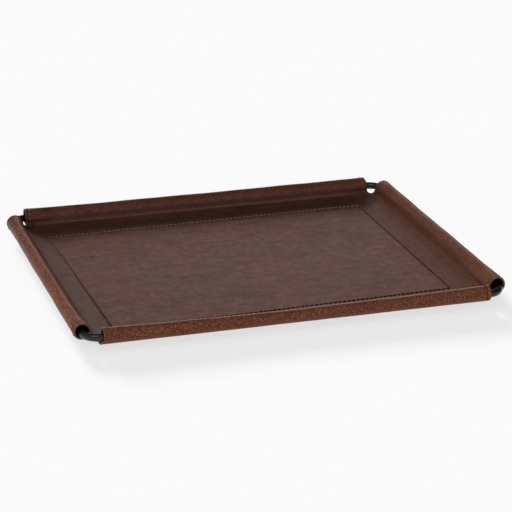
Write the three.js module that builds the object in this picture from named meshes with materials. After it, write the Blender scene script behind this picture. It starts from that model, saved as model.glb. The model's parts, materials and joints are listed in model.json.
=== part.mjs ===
import * as THREE from 'three';

// Leather serving tray: a bent rod frame held in four leather rolls round a stiffened floor.
// Millimetres, +Z up, origin on the resting plane under the centre.
// +X runs along the long side, -Y is the front.

// Frame rod
const FRAME_LENGTH = 433;      // rod axis to rod axis along X
const FRAME_DEPTH = 363;       // rod axis to rod axis along Y
const ROD_DIAMETER = 8;
const BEND_RADIUS = 16;        // rod axis at the four corners

// Leather
const LEATHER = 1.6;           // tray leather
const LINING = 0.8;            // strip inside each roll
const COVER = 1.4;             // underside
const SLEEVE_BORE = 11.8;      // lined roll, loose on the rod
const FLOOR_DROP = 9.5;        // floor surface below the rod axis
const NOTCH_RADIUS = 6;        // inner corner of each corner notch
const FLAP_TURN = 3;           // turned-under flap past the seam
const COVER_HEM = 7;           // base cover past the seam

// Floor
const BOARD = 3;
const BOARD_MARGIN = 4.5;      // board edge inside the seam
const SEAM_INSET_LONG = 45;    // seam from the rod axis, front and back
const SEAM_INSET_SHORT = 37;   // seam from the rod axis, left and right
const SEAM_LEDGE = 1.5;        // flat strip outside the seam before the band rises

// Thread
const STITCH_PITCH = 5;
const THREAD = 0.9;
const GROOVE_DEPTH = 0.4;      // stitching groove that the seam thread lies in
const GROOVE_WIDTH = 1.5;
const END_STITCH_INSET = 4.5;  // end stitch from the cut end of a roll

// Clearance between bonded layers, and under the thread
const FIT_GAP = 0.3;
const THREAD_GAP = 0.1;

// Sizes that follow
const BORE_RADIUS = SLEEVE_BORE / 2;
const LINING_OUTER = BORE_RADIUS + LINING;
const ROLL_INNER = LINING_OUTER + FIT_GAP;
const ROLL_OUTER = ROLL_INNER + LEATHER;
const ROD_RADIUS = ROD_DIAMETER / 2;
const ROD_REST = BORE_RADIUS - ROD_RADIUS - FIT_GAP;
const POCKET = Math.max(BOARD, LEATHER + 2 * FIT_GAP);
const FLOOR_UNDER = COVER + POCKET;
const FLOOR_TOP = FLOOR_UNDER + LEATHER;
const ROD_Z = FLOOR_TOP + FLOOR_DROP;
const ROLL_Z = ROD_Z + ROD_REST;
const SETBACK = BEND_RADIUS + 0.5;
const HALF_X = FRAME_LENGTH / 2;
const HALF_Y = FRAME_DEPTH / 2;
const SEAM_X = HALF_X - SEAM_INSET_SHORT;
const SEAM_Y = HALF_Y - SEAM_INSET_LONG;
const ARC_STEPS = 20;

const turn = (degrees) => degrees * Math.PI / 180;

// Point of the roll's round section: u outward from the rod axis, z up.
function onRoll(radius, angle) {
  return { u: radius * Math.cos(angle), z: ROLL_Z + radius * Math.sin(angle) };
}

// Angle where a line from a point below the roll leaves a circle of the roll on its outer side.
function leavingAngle(point, radius) {
  const z = point.z - ROLL_Z;
  const distance = Math.hypot(point.u, z);
  return Math.atan2(z, point.u) + Math.acos(Math.min(1, radius / distance));
}

// Crease where a band meets its roll. It is the same on all four sides.
const CREASE = onRoll(ROLL_OUTER, turn(-133));

// How far a place has risen from the floor (0) to the crease (1), across one band.
function rise(distance, inset) {
  const start = -inset + SEAM_LEDGE;
  return Math.max(0, (distance - start) / (CREASE.u - start));
}

// Grain surface of the floor and the bands.
function bandHeight(x, y) {
  const acrossShort = rise(Math.abs(x) - HALF_X, SEAM_INSET_SHORT);
  const acrossLong = rise(Math.abs(y) - HALF_Y, SEAM_INSET_LONG);
  return FLOOR_TOP + (CREASE.z - FLOOR_TOP) * Math.max(acrossShort, acrossLong);
}

// Closed solid of a thin sheet: cells between paired points of its grain side and its flesh side.
class Sheet {
  constructor() {
    this.pairs = [];
    this.known = new Map();
    this.cells = [];
  }

  pair(grain, flesh) {
    const key = [...grain, ...flesh].map((value) => value.toFixed(4)).join(' ');
    if (!this.known.has(key)) {
      this.known.set(key, this.pairs.length);
      this.pairs.push({ grain, flesh });
    }
    return this.known.get(key);
  }

  cell(...corners) {
    const distinct = corners.filter((corner, i) => corner !== corners[(i + 1) % corners.length]);
    this.cells.push(distinct);
  }

  geometry() {
    const positions = [];
    for (const { grain, flesh } of this.pairs) {
      positions.push(...grain, ...flesh);
    }
    const index = [];
    const open = new Map();
    for (const corners of this.cells) {
      for (let i = 1; i + 1 < corners.length; i += 1) {
        const [a, b, c] = [corners[0], corners[i], corners[i + 1]];
        index.push(2 * a, 2 * b, 2 * c, 2 * a + 1, 2 * c + 1, 2 * b + 1);
      }
      corners.forEach((a, i) => {
        const b = corners[(i + 1) % corners.length];
        if (!open.delete(`${b} ${a}`)) {
          open.set(`${a} ${b}`, [a, b]);
        }
      });
    }
    for (const [a, b] of open.values()) {
      index.push(2 * a, 2 * a + 1, 2 * b + 1, 2 * a, 2 * b + 1, 2 * b);
    }
    const geometry = new THREE.BufferGeometry();
    geometry.setAttribute('position', new THREE.Float32BufferAttribute(positions, 3));
    geometry.setIndex(index);
    geometry.computeVertexNormals();
    return geometry;
  }
}

// Section of one side from the floor edge round the roll to the tip of the flap.
function wingSection(inset) {
  const start = -inset + SEAM_LEDGE;
  const slope = (CREASE.z - FLOOR_TOP) / (CREASE.u - start);
  const band = (u) => FLOOR_TOP + slope * (u - start);
  const rows = [];
  const foldU = CREASE.u + 2 * LEATHER;
  const fold = { u: foldU, z: band(foldU) - LEATHER };
  rows.push({ grain: CREASE, flesh: fold });
  const flapFlesh = { u: foldU, z: fold.z - FIT_GAP };
  const flapGrain = { u: foldU, z: flapFlesh.z - LEATHER * 1.04 };
  const grainFrom = turn(-133);
  const fleshFrom = Math.atan2(fold.z - ROLL_Z, fold.u);
  const grainTo = leavingAngle(flapGrain, ROLL_OUTER) - 2 * Math.PI;
  const fleshTo = leavingAngle(flapFlesh, ROLL_INNER) - 2 * Math.PI;
  for (let i = 1; i <= ARC_STEPS; i += 1) {
    const t = i / ARC_STEPS;
    const grain = onRoll(ROLL_OUTER, grainFrom + (grainTo - grainFrom) * t);
    const flesh = onRoll(ROLL_INNER, fleshFrom + (fleshTo - fleshFrom) * t);
    rows.push({ grain, flesh });
  }
  rows.push({ grain: flapGrain, flesh: flapFlesh });
  for (const u of [start, -inset - FLAP_TURN]) {
    const z = FLOOR_UNDER - FIT_GAP;
    rows.push({ grain: { u, z: z - LEATHER }, flesh: { u, z } });
  }
  return rows;
}

// Flat floor inside the seam, the groove that the seam lies in, and the ledge outside it.
function groovedFloor(sheet, rim) {
  const wall = GROOVE_WIDTH / 2;
  const bed = THREAD / 2 + THREAD_GAP;
  const level = (outset, depth) => [[-1, -1], [1, -1], [1, 1], [-1, 1]].map(([sx, sy]) => {
    const x = sx * (SEAM_X + outset);
    const y = sy * (SEAM_Y + outset);
    return sheet.pair([x, y, FLOOR_TOP - depth], [x, y, FLOOR_UNDER]);
  });
  const loops = [rim, level(wall, 0), level(bed, GROOVE_DEPTH), level(-bed, GROOVE_DEPTH), level(-wall, 0)];
  for (let k = 0; k + 1 < loops.length; k += 1) {
    for (let i = 0; i < 4; i += 1) {
      const j = (i + 1) % 4;
      sheet.cell(loops[k][i], loops[k][j], loops[k + 1][j], loops[k + 1][i]);
    }
  }
  sheet.cell(...loops[4]);
}

// The whole leather: floor and bands with notched corners, then four wings rolled round the rod.
function trayLeather() {
  const sheet = new Sheet();
  const endX = HALF_X - SETBACK;
  const endY = HALF_Y - SETBACK;
  const riseX = SEAM_X + SEAM_LEDGE;
  const riseY = SEAM_Y + SEAM_LEDGE;
  const linesX = [-endX, -riseX, riseX, endX];
  const linesY = [-endY, -riseY, riseY, endY];
  const floorPair = (x, y) => {
    const z = bandHeight(x, y);
    return sheet.pair([x, y, z], [x, y, z - LEATHER]);
  };
  for (let i = 0; i < 3; i += 1) {
    for (let j = 0; j < 3; j += 1) {
      const a = floorPair(linesX[i], linesY[j]);
      const b = floorPair(linesX[i + 1], linesY[j]);
      const c = floorPair(linesX[i + 1], linesY[j + 1]);
      const d = floorPair(linesX[i], linesY[j + 1]);
      if (i === 1 && j === 1) {
        groovedFloor(sheet, [a, b, c, d]);
      } else if (i === 1 || j === 1 || i === j) {
        sheet.cell(a, b, c, d);
      } else {
        sheet.cell(b, c, d, a);
      }
    }
  }
  const tipX = SEAM_X - FLAP_TURN;
  const tipY = SEAM_Y - FLAP_TURN;
  const sides = [
    { lines: linesX, half: HALF_Y, end: endX, inset: SEAM_INSET_LONG, edge: endY, tip: tipY, reach: tipX,
      place: (t, u, z) => [t, -(HALF_Y + u), z] },
    { lines: linesX, half: HALF_Y, end: endX, inset: SEAM_INSET_LONG, edge: endY, tip: tipY, reach: tipX,
      place: (t, u, z) => [-t, HALF_Y + u, z] },
    { lines: linesY, half: HALF_X, end: endY, inset: SEAM_INSET_SHORT, edge: endX, tip: tipX, reach: tipY,
      place: (t, u, z) => [HALF_X + u, t, z] },
    { lines: linesY, half: HALF_X, end: endY, inset: SEAM_INSET_SHORT, edge: endX, tip: tipX, reach: tipY,
      place: (t, u, z) => [-(HALF_X + u), -t, z] },
  ];
  for (const side of sides) {
    const onFloor = (t, u) => {
      const [x, y] = side.place(t, u, 0);
      return floorPair(x, y);
    };
    const section = wingSection(side.inset);
    const rows = [
      side.lines.map((t) => onFloor(t, -SETBACK)),
      side.lines.map((t) => onFloor(t, NOTCH_RADIUS - SETBACK)),
    ];
    section.forEach(({ grain, flesh }, row) => {
      const flap = row > ARC_STEPS + 1;
      const inward = side.edge - (side.half + grain.u);
      const taper = (side.end - side.reach) * inward / (side.edge - side.tip) + 2 * FIT_GAP;
      const scale = flap ? (side.end - taper) / side.end : 1;
      rows.push(side.lines.map((t) => sheet.pair(
        side.place(t * scale, grain.u, grain.z),
        side.place(t * scale, flesh.u, flesh.z),
      )));
    });
    for (let row = 0; row + 1 < rows.length; row += 1) {
      for (let i = 0; i + 1 < side.lines.length; i += 1) {
        sheet.cell(rows[row][i + 1], rows[row][i], rows[row + 1][i], rows[row + 1][i + 1]);
      }
    }
  }
  for (const [sx, sy] of [[1, 1], [-1, 1], [-1, -1], [1, -1]]) {
    const round = [];
    for (let i = 0; i <= 5; i += 1) {
      const angle = turn(90 * i / 5);
      const x = endX + NOTCH_RADIUS * (1 - Math.sin(angle));
      const y = endY + NOTCH_RADIUS * (1 - Math.cos(angle));
      round.push(floorPair(sx * x, sy * y));
    }
    const corner = floorPair(sx * endX, sy * endY);
    const fan = sx * sy > 0 ? round : round.reverse();
    sheet.cell(corner, ...fan);
  }
  return sheet.geometry();
}

// Points of a rounded rectangle, counterclockwise from above.
function roundedLoop(halfX, halfY, radius, steps) {
  const points = [];
  [[1, 1], [-1, 1], [-1, -1], [1, -1]].forEach(([sx, sy], quarter) => {
    for (let i = 0; i <= steps; i += 1) {
      const angle = turn(90 * (quarter + i / steps));
      const x = sx * (halfX - radius) + radius * Math.cos(angle);
      const y = sy * (halfY - radius) + radius * Math.sin(angle);
      points.push([x, y]);
    }
  });
  return points;
}

function frameRod() {
  const sides = 16;
  const loop = roundedLoop(HALF_X, HALF_Y, BEND_RADIUS, 8);
  const inner = roundedLoop(HALF_X - BEND_RADIUS / 2, HALF_Y - BEND_RADIUS / 2, BEND_RADIUS / 2, 8);
  const positions = [];
  const index = [];
  loop.forEach(([x, y], i) => {
    const out = new THREE.Vector2(x - inner[i][0], y - inner[i][1]).normalize();
    for (let k = 0; k < sides; k += 1) {
      const angle = turn(360 * (k + 0.5) / sides);
      const offset = ROD_RADIUS * Math.cos(angle);
      positions.push(x + out.x * offset, y + out.y * offset, ROD_Z + ROD_RADIUS * Math.sin(angle));
    }
    const next = (i + 1) % loop.length;
    for (let k = 0; k < sides; k += 1) {
      const a = i * sides + k;
      const b = next * sides + k;
      const c = next * sides + (k + 1) % sides;
      const d = i * sides + (k + 1) % sides;
      index.push(a, b, c, a, c, d);
    }
  });
  const geometry = new THREE.BufferGeometry();
  geometry.setAttribute('position', new THREE.Float32BufferAttribute(positions, 3));
  geometry.setIndex(index);
  geometry.computeVertexNormals();
  return geometry;
}

// Split tube inside a roll, along X or along Y.
function sleeveLining(half, place) {
  const sheet = new Sheet();
  const rows = [];
  for (let i = 0; i <= ARC_STEPS; i += 1) {
    const angle = turn(-128 - 330 * i / ARC_STEPS);
    const outer = onRoll(LINING_OUTER, angle);
    const inner = onRoll(BORE_RADIUS, angle);
    rows.push([-half, half].map((t) => sheet.pair(place(t, outer.u, outer.z), place(t, inner.u, inner.z))));
  }
  for (let i = 0; i < ARC_STEPS; i += 1) {
    sheet.cell(rows[i][1], rows[i][0], rows[i + 1][0], rows[i + 1][1]);
  }
  return sheet.geometry();
}

function baseBoard() {
  const points = roundedLoop(SEAM_X - BOARD_MARGIN, SEAM_Y - BOARD_MARGIN, 4, 3);
  const shape = new THREE.Shape(points.map(([x, y]) => new THREE.Vector2(x, y)));
  const geometry = new THREE.ExtrudeGeometry(shape, { depth: BOARD, bevelEnabled: false });
  geometry.translate(0, 0, FLOOR_UNDER - BOARD);
  return geometry;
}

// Underside: flat below the board, with a hem raised against the flaps.
function baseCover() {
  const sheet = new Sheet();
  const boardTop = FLOOR_UNDER - BOARD;
  const hemTop = FLOOR_UNDER - LEATHER - 2 * FIT_GAP;
  const clear = BOARD_MARGIN - FIT_GAP;
  const level = (outset, radius, top) => roundedLoop(SEAM_X + outset, SEAM_Y + outset, radius, 3)
    .map(([x, y]) => sheet.pair([x, y, top], [x, y, top - COVER]));
  const loops = [
    level(-clear - 4, 0, boardTop),
    level(-clear, 4, boardTop),
    level(-FLAP_TURN - FIT_GAP, 5, hemTop),
    level(COVER_HEM, 8, hemTop),
  ];
  sheet.cell(...loops[0]);
  for (let k = 0; k + 1 < loops.length; k += 1) {
    loops[k].forEach((a, i) => {
      const j = (i + 1) % loops[k].length;
      sheet.cell(a, loops[k + 1][i], loops[k + 1][j], loops[k][j]);
    });
  }
  return sheet.geometry();
}

// Row of stitches as one unbroken thread: thin where it dips at each hole, full between holes.
function stitchRow(length, place, fullAt = [0.2, 0.8]) {
  const count = Math.max(1, Math.round(length / STITCH_PITCH));
  const pitch = length / count;
  const rings = [];
  for (let i = 0; i < count; i += 1) {
    rings.push([i * pitch, 0.3], ...fullAt.map((at) => [(i + at) * pitch, 1]));
  }
  rings.push([length, 0.3]);
  const positions = [];
  const index = [];
  rings.forEach(([s, fullness]) => {
    const width = fullness * THREAD / 2;
    positions.push(...place(s, -width, 0), ...place(s, width, 0), ...place(s, 0, fullness * THREAD * 0.7));
  });
  for (let r = 0; r + 1 < rings.length; r += 1) {
    for (let k = 0; k < 3; k += 1) {
      const a = 3 * r + k;
      const b = 3 * r + (k + 1) % 3;
      index.push(a, b, b + 3, a, b + 3, a + 3);
    }
  }
  const last = 3 * (rings.length - 1);
  index.push(0, 2, 1, last, last + 1, last + 2);
  const geometry = new THREE.BufferGeometry();
  geometry.setAttribute('position', new THREE.Float32BufferAttribute(positions, 3));
  geometry.setIndex(index);
  geometry.computeVertexNormals();
  return geometry;
}

// End stitch round the outside of a roll, from above its crease to below its outer side.
function endStitch(along, place) {
  const radius = ROLL_OUTER + THREAD_GAP;
  const from = turn(-146);
  const sweep = turn(275);
  return stitchRow(radius * sweep, (s, across, height) => {
    const point = onRoll(radius + height, from - s / radius);
    return place(along + across, point.u, point.z);
  }, [0.2, 0.5, 0.8]);
}

const LEATHER_LOOK = new THREE.MeshStandardMaterial({ color: 0x4a2c20, roughness: 0.55 });
const LINING_LOOK = new THREE.MeshStandardMaterial({ color: 0x2b1812, roughness: 0.8 });
const COVER_LOOK = new THREE.MeshStandardMaterial({ color: 0x3a241b, roughness: 0.7 });
const BOARD_LOOK = new THREE.MeshStandardMaterial({ color: 0x8a6a48, roughness: 0.9 });
const ROD_LOOK = new THREE.MeshStandardMaterial({ color: 0x17181a, roughness: 0.45, metalness: 0.6 });
const THREAD_LOOK = new THREE.MeshStandardMaterial({ color: 0x7a543c, roughness: 0.8 });

const tray = new THREE.Group();
tray.name = 'leather_serving_tray';

function add(name, geometry, material) {
  const mesh = new THREE.Mesh(geometry, material);
  mesh.name = name;
  tray.add(mesh);
}

const SIDES = {
  front: (t, u, z) => [t, -(HALF_Y + u), z],
  back: (t, u, z) => [-t, HALF_Y + u, z],
  right: (t, u, z) => [HALF_X + u, t, z],
  left: (t, u, z) => [-(HALF_X + u), -t, z],
};
const ENDS = {
  front: ['right', 'left'],
  back: ['left', 'right'],
  right: ['back', 'front'],
  left: ['front', 'back'],
};

add('frame_rod', frameRod(), ROD_LOOK);
add('base_board', baseBoard(), BOARD_LOOK);
add('base_cover', baseCover(), COVER_LOOK);
add('tray_leather', trayLeather(), LEATHER_LOOK);
for (const [side, place] of Object.entries(SIDES)) {
  const long = side === 'front' || side === 'back';
  const half = (long ? HALF_X : HALF_Y) - SETBACK;
  add(`${side}_sleeve_lining`, sleeveLining(half, place), LINING_LOOK);
  const inset = long ? SEAM_INSET_LONG : SEAM_INSET_SHORT;
  const seam = (long ? SEAM_X : SEAM_Y) - THREAD;
  const grooveBed = FLOOR_TOP - GROOVE_DEPTH;
  const seamPlace = (s, across, height) => place(s - seam, -across - inset, grooveBed + height);
  add(`${side}_seam_thread`, stitchRow(2 * seam, seamPlace), THREAD_LOOK);
  const reach = half - END_STITCH_INSET;
  add(`${side}_sleeve_${ENDS[side][0]}_stitch`, endStitch(reach, place), THREAD_LOOK);
  add(`${side}_sleeve_${ENDS[side][1]}_stitch`, endStitch(-reach, place), THREAD_LOOK);
}

export default tray;
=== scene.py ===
"""Leather serving tray: a bent black rod held in four leather rolls round a flat sewn floor."""

import json
import math

import bmesh
import bpy
import numpy as np
from mathutils import Matrix, Vector

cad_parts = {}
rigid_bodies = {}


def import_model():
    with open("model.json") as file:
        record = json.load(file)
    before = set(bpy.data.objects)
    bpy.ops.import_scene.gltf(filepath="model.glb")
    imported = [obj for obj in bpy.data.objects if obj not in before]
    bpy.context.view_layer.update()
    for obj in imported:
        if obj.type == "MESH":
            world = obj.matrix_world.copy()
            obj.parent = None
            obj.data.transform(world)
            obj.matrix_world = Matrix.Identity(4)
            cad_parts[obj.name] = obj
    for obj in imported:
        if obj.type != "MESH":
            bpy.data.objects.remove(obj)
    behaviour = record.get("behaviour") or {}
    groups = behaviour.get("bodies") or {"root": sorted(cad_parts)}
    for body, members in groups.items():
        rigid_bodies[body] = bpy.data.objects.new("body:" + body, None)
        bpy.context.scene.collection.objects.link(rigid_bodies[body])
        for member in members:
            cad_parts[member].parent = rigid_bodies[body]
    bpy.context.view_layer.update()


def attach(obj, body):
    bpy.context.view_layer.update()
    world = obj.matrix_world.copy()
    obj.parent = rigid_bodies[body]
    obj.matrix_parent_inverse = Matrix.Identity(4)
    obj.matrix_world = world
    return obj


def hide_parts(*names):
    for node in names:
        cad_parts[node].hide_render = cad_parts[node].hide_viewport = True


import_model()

MM = 0.001
# Two places nearer than this, in millimetres, count as one
HAIR = 0.01

# Sizes of the tray, in millimetres, as the solids have them
HALF_X = 216.5
HALF_Y = 181.5
ROD_RADIUS = 4.0
BEND_RADIUS = 16.0
ROD_Z = 15.5
ROLL_Z = 17.1
ROLL_RADIUS = 8.6
LEATHER = 1.6
COVER = 1.4
FLOOR_TOP = 6.0
FLOOR_UNDER = 4.4
FIT_GAP = 0.3
SETBACK = 16.5
END_X = HALF_X - SETBACK
END_Y = HALF_Y - SETBACK
SEAM_X = 179.5
SEAM_Y = 136.5
INSET_LONG = HALF_Y - SEAM_Y
INSET_SHORT = HALF_X - SEAM_X
LEDGE = 1.5
FLAP_TURN = 3.0
STITCH_PITCH = 5.0
END_STITCH_INSET = 4.5

# Sizes that only the worn leather has: the turn of each crease round its roll in degrees, the gentle rise of
# a band before its crease, the floor's broad and fine ripples, by which the floor lies higher to clear the
# board, the stitching groove, which runs on a little past the corners, and the eased cut edge
CREASE_LONG = -150.0
CREASE_SHORT = -168.0
RISE_LONG = 4.8
RISE_SHORT = 4.2
BROAD_RIPPLE = 0.10
FINE_RIPPLE = 0.06
RIPPLE_SWING = BROAD_RIPPLE + FINE_RIPPLE
GROOVE_DEPTH = 0.25
GROOVE_WIDTH = 0.85
GROOVE_RUN_ON = 0.6
EASED_EDGE = 0.3

# Rows of points across a wing: on the band at these distances from the rod's line, in steps round the roll,
# and on the flap, which leaves the roll for the band's underside at its own distance
BAND_PLACES = (-SETBACK, -13.4, -11.0, -9.4)
BAND_ROWS = len(BAND_PLACES)
SPIN_STEPS = 28
LAST_ROLL_ROW = BAND_ROWS + SPIN_STEPS
FLAP_MEETS = -12.5
FLAP_DROP = 2 * LEATHER + FIT_GAP + 0.2

# Camera of the photograph: degrees, metres, millimetres of sensor, and the photograph's own pixels
AZIMUTH = -17.24
ELEVATION = 20.14
TILT = -0.2
DISTANCE = 2.2126
SENSOR = 36
PHOTO_PIXELS = 512
FOCAL_PIXELS = 2084.9
AIM_RIGHT_PIXELS = 9.45
AIM_DOWN_PIXELS = 1.97


def look_at_tray():
    """Sets the camera where the photograph was taken from."""
    azimuth, elevation, tilt = (math.radians(v) for v in (AZIMUTH, ELEVATION, TILT))
    back = Vector((
        math.sin(azimuth) * math.cos(elevation),
        -math.cos(azimuth) * math.cos(elevation),
        math.sin(elevation),
    ))
    forward = -back
    right = forward.cross(Vector((0, 0, 1))).normalized()
    down = forward.cross(right)
    turned_right = math.cos(tilt) * right + math.sin(tilt) * down
    turned_down = -math.sin(tilt) * right + math.cos(tilt) * down
    aim = forward * FOCAL_PIXELS + turned_right * AIM_RIGHT_PIXELS + turned_down * AIM_DOWN_PIXELS
    aim.normalize()
    side = (turned_right - aim * turned_right.dot(aim)).normalized()
    up = side.cross(aim)
    camera = bpy.data.objects.new("tray_camera", bpy.data.cameras.new("tray_camera"))
    bpy.context.collection.objects.link(camera)
    camera.rotation_euler = Matrix((side, up, -aim)).transposed().to_euler()
    camera.location = Vector((0, 0, ROD_Z * MM)) + back * DISTANCE
    camera.data.sensor_width = SENSOR
    camera.data.lens = FOCAL_PIXELS * SENSOR / PHOTO_PIXELS
    camera.data.clip_end = 50
    bpy.context.scene.camera = camera


look_at_tray()
bpy.context.scene.view_settings.view_transform = "Standard"


# Working by hand: small steps that every piece uses


def clear_selection():
    """Leaves edit mode and lets go of everything."""
    if bpy.context.object and bpy.context.object.mode != "OBJECT":
        bpy.ops.object.mode_set(mode="OBJECT")
    bpy.ops.object.select_all(action="DESELECT")


def started(name):
    """Names a new primitive, settles its place and opens it for editing, all of it selected."""
    piece = bpy.context.object
    piece.name = name
    piece.data.name = name
    bpy.ops.object.transform_apply(location=True, rotation=True, scale=True)
    bpy.ops.object.mode_set(mode="EDIT")
    bpy.ops.mesh.select_all(action="SELECT")
    return piece


def only(piece):
    """Selects one piece and nothing else."""
    clear_selection()
    piece.select_set(True)
    bpy.context.view_layer.objects.active = piece


def pick(piece, test):
    """Selects the points whose place, in millimetres, passes a test."""
    bm = bmesh.from_edit_mesh(piece.data)
    bm.select_mode = {"VERT"}
    for vert in bm.verts:
        vert.select = bool(test(vert.co / MM))
    bm.select_flush_mode()
    bmesh.update_edit_mesh(piece.data)


def pick_faces(piece, test):
    """Selects the faces whose middle, in millimetres, passes a test."""
    bm = bmesh.from_edit_mesh(piece.data)
    bm.select_mode = {"FACE"}
    for face in bm.faces:
        face.select_set(bool(test(face.calc_center_median() / MM)))
    bm.select_flush_mode()
    bmesh.update_edit_mesh(piece.data)


def cut_across(spot, way):
    """Cuts every face that a plane crosses."""
    bpy.ops.mesh.select_all(action="SELECT")
    bpy.ops.mesh.bisect(plane_co=spot, plane_no=way)


def apply_modifier(piece, kind, **settings):
    """Adds a modifier and applies it at once."""
    modifier = piece.modifiers.new(kind.lower(), kind)
    for key, value in settings.items():
        setattr(modifier, key, value)
    only(piece)
    bpy.ops.object.modifier_apply(modifier=modifier.name)


def ease_edges(piece):
    """Rounds the marked edges of a cut sheet a little."""
    apply_modifier(piece, "BEVEL", width=EASED_EDGE * MM, segments=2, limit_method="WEIGHT")


def smooth_sides(piece, sharpest):
    """Shades a piece smooth except where its faces meet at more than some degrees."""
    only(piece)
    bpy.ops.object.shade_smooth_by_angle(angle=math.radians(sharpest))


def points_of(piece):
    """Places of a piece's points, in millimetres."""
    points = np.empty(len(piece.data.vertices) * 3)
    piece.data.vertices.foreach_get("co", points)
    return points.reshape(-1, 3) / MM


def set_points(piece, points):
    """Moves a piece's points to places in millimetres."""
    piece.data.vertices.foreach_set("co", (np.asarray(points) * MM).ravel())
    piece.data.update()


def note(piece, name, values):
    """Keeps one value for each point under a name."""
    attribute = piece.data.attributes.new(name, "FLOAT", "POINT")
    attribute.data.foreach_set("value", np.asarray(values, dtype=np.float32))


def noted(piece, name):
    """Values that were kept under a name."""
    values = np.empty(len(piece.data.vertices), dtype=np.float32)
    piece.data.attributes[name].data.foreach_get("value", values)
    return values.astype(float)


def bell(value, height, middle, width):
    """A height at the middle, falling softly to nothing on both sides of it."""
    return height * np.exp(-((value - middle) / width) ** 2)


def rise(value, start, end):
    """Nothing up to the start, one from the end on, evenly between."""
    return np.clip((value - start) / (end - start), 0, 1)


# The sides of the tray, how they have worn and how light and shade are painted on them

# Each side by its distance from the middle to the rod (half) and to the seam, half the length of its roll
# (end) and of its seam, the seam's inset from the rod here and on the sides beside it, and its ways out and
# along
LONG = dict(half=HALF_Y, end=END_X, inset=INSET_LONG, beside=INSET_SHORT, seam=SEAM_Y, seam_end=SEAM_X)
SHORT = dict(half=HALF_X, end=END_Y, inset=INSET_SHORT, beside=INSET_LONG, seam=SEAM_X, seam_end=SEAM_Y)
SIDES = {
    "front": dict(LONG, out=(0, -1), run=(1, 0)),
    "back": dict(LONG, out=(0, 1), run=(-1, 0)),
    "right": dict(SHORT, out=(1, 0), run=(0, 1)),
    "left": dict(SHORT, out=(-1, 0), run=(0, -1)),
}
# How each roll has settled on the rod: how far its top sinks at most (sag) and at its two ends, where along
# it that is most (low) and how full the dip is, how far its inner wall is drawn to the rod at the crease
# (pull) and above it (lean), and how flat it is pressed
SETTLING = {
    "front": dict(sag=3.7, ends=(0.4, 1.2), low=-0.05, dip=1.8, pull=0.3, lean=1.0, press=0.80),
    "back": dict(sag=0.9, ends=(0, 0), low=0.05, dip=2.6, pull=0.4, lean=5.5, press=1.0),
    "right": dict(sag=0.4, ends=(0, 0), low=0.10, dip=2.6, pull=0.9, lean=4.5, press=1.0),
    "left": dict(sag=1.6, ends=(0, 0), low=-0.25, dip=2.6, pull=0.9, lean=4.5, press=1.0),
}
# How each roll has worn and how it is painted lit: how softly its crease is rounded, how strong the painted
# highlight on its top and the painted light under and inside it are (pale), how much painted highlight lies
# on the band's shoulder and how far from the rod's line (taut_at), and how rusty its outer wall is, with
# painted light, at its two ends
WEAR_AND_LIGHT = {
    "front": dict(soft=0.0, pale=1.0, taut=1.0, taut_at=10.8, rust=(1.0, 1.0)),
    "back": dict(soft=0.35, pale=0.0, taut=1.0, taut_at=13.2, rust=(1.0, 1.0)),
    "right": dict(soft=0.55, pale=0.05, taut=0.18, taut_at=10.8, rust=(0.55, 0.2)),
    "left": dict(soft=0.3, pale=0.2, taut=0.5, taut_at=10.8, rust=(0.0, 0.75)),
}
for side_name, side in SIDES.items():
    side.update(SETTLING[side_name])
    side.update(WEAR_AND_LIGHT[side_name])
# How far each seam was sewn outside its marked line: in the middle, how far it slants, and from where on, and
# how widely the leather beside it goes along
SEAM_DRIFT = {
    "front": (2.8, -5.4, -0.3),
    "back": (1.6, -3.4, -1.1),
    "right": (-1.3, 0.0, -1.1),
    "left": (2.8, -2.0, -1.1),
}
SEAM_REACH = 12


def place(side, t, u, z):
    """From a side's own t along it, u outward from the rod and z up to the tray's x, y, z."""
    out, run = side["out"], side["run"]
    reach = side["half"] + u
    return np.stack([out[0] * reach + run[0] * t, out[1] * reach + run[1] * t, z + 0 * t], axis=-1)


def along_and_out(side, points):
    """The other way round: how far points lie along a side, and how far out from its rod."""
    x, y = points[:, 0], points[:, 1]
    out, run = side["out"], side["run"]
    return x * run[0] + y * run[1], x * out[0] + y * out[1] - side["half"]


# The leather's shape

# Soft swells, each as (how high, where it is most, how wide): the shoulder of a long and of a short band, by
# the way out from the rod, and the pull of the stitches and the flare of the mouth, by the way from the end
# of a roll. A shoulder comes up between two distances from that end
SHOULDER_LONG = (0.9, -12.5, 3.2)
SHOULDER_SHORT = (0.225, -13, 3.5)
SHOULDER_FROM = (3, 17)
STITCH_PULL = (-0.16, END_STITCH_INSET, 1.7)
MOUTH_FLARE = (0.1, 0, 2.2)
# The waves along a roll, long and short, and the rows over which they die out at the crease and the flap
LONG_WAVE = 0.16
SHORT_WAVE = 0.10
EASE_ROWS = 5
# How much sooner than it sinks a roll is drawn in, going from its ends to its middle, and how far under its
# centre the sinking starts
DRAWN_SOONER = 2.5
SINKS_UNDER = 3
# Cut ends that stand out from the square, coming between two distances from the end: the low lip at the left
# of the front roll, over some degrees, all of the back roll's left end, and the top of its right end
END_SHIFT_FROM = (40, 10)
FRONT_LIP = 3.3
LIP_FACING = (-15, -85)
BACK_LEFT_END = 2.0
BACK_RIGHT_TOP = (1.6, 100, 35)


def crease_of(inset):
    """Turn of the crease round the roll, in degrees, and its place: u from the rod's line, z up."""
    turn = CREASE_LONG if inset == INSET_LONG else CREASE_SHORT
    angle = math.radians(turn)
    return turn, ROLL_RADIUS * math.cos(angle), ROLL_Z + ROLL_RADIUS * math.sin(angle)


def band_lift(out, inset):
    """Rise of a band over the floor: gentle from the seam, steep just before the crease."""
    _, crease_u, crease_z = crease_of(inset)
    share = rise(out, -inset + LEDGE, crease_u)
    gentle = RISE_LONG if inset == INSET_LONG else RISE_SHORT
    return gentle * share + (crease_z - FLOOR_TOP - gentle) * share ** 9


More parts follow.
